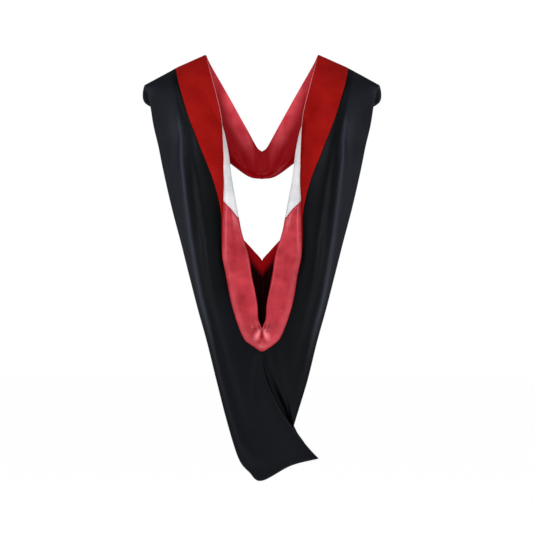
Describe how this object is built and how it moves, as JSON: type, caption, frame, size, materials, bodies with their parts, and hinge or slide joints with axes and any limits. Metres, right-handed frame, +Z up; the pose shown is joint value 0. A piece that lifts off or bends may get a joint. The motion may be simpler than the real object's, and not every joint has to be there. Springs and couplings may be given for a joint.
{
  "type": "academic hood",
  "caption": "Draped hood worn over a gown: a loop round the neck that hangs down the back, with a velvet edge, a turned-out satin lining and a folded tail.",
  "frame": {"origin": "middle of the neck, level with the two shoulder peaks and in the plane of the shoulder ridge", "axes": "+Z up, +Y to the wearer's front, +X to the wearer's right, so the drape hangs at -Y"},
  "size_m": [0.5472, 0.2592, 0.9795],
  "materials": {
    "shell": "fine plain-weave black cloth, matt with a faint sheen",
    "velvet": "short-pile red velvet",
    "red_satin": "glossy red satin",
    "white_satin": "glossy white satin"
  },
  "bodies": {
    "root": {"shell_left": "shell", "shell_right": "shell", "velvet_left": "velvet", "velvet_right": "velvet", "lining_neck_left": "red_satin", "lining_neck_right": "red_satin", "chevron_left": "white_satin", "chevron_right": "white_satin", "lining_cuff_left": "red_satin", "lining_cuff_right": "red_satin", "lining_back_left": "red_satin", "lining_back_right": "red_satin"}
  },
  "joints": []
}
